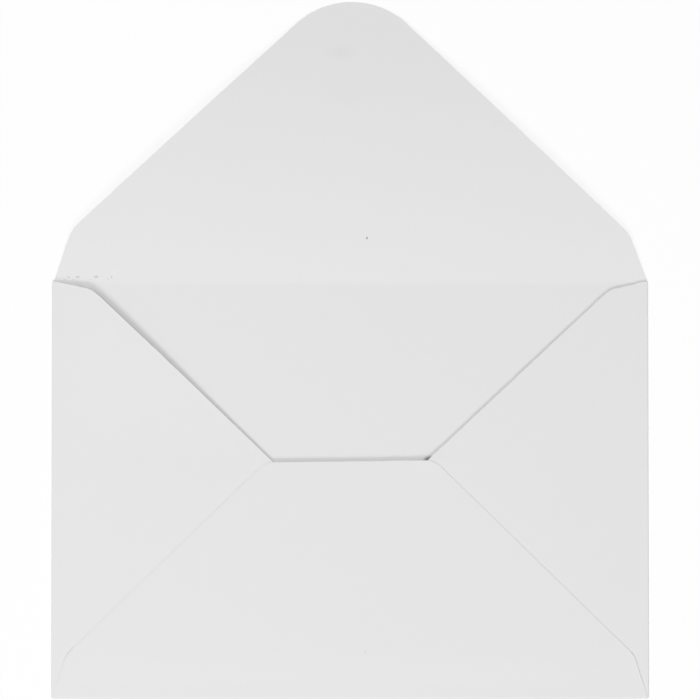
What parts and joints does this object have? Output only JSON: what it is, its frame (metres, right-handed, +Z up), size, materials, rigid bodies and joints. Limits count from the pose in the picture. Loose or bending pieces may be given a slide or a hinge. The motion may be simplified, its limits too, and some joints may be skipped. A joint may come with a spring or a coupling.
{
  "type": "paper envelope",
  "caption": "Paper envelope with a pointed flap, folded and glued from one sheet, lying flap side up with its top flap turned out flat and its throat open.",
  "frame": {"origin": "on the table that the envelope lies on, under the middle of its whole outline with the top flap turned out", "axes": "+X along the width, +Y from the bottom edge to the tip of the top flap, +Z up out of the flap side"},
  "size_m": [0.162, 0.1904, 0.0019],
  "materials": {
    "paper": "matte"
  },
  "bodies": {
    "root": {"envelope": "paper"}
  },
  "joints": []
}
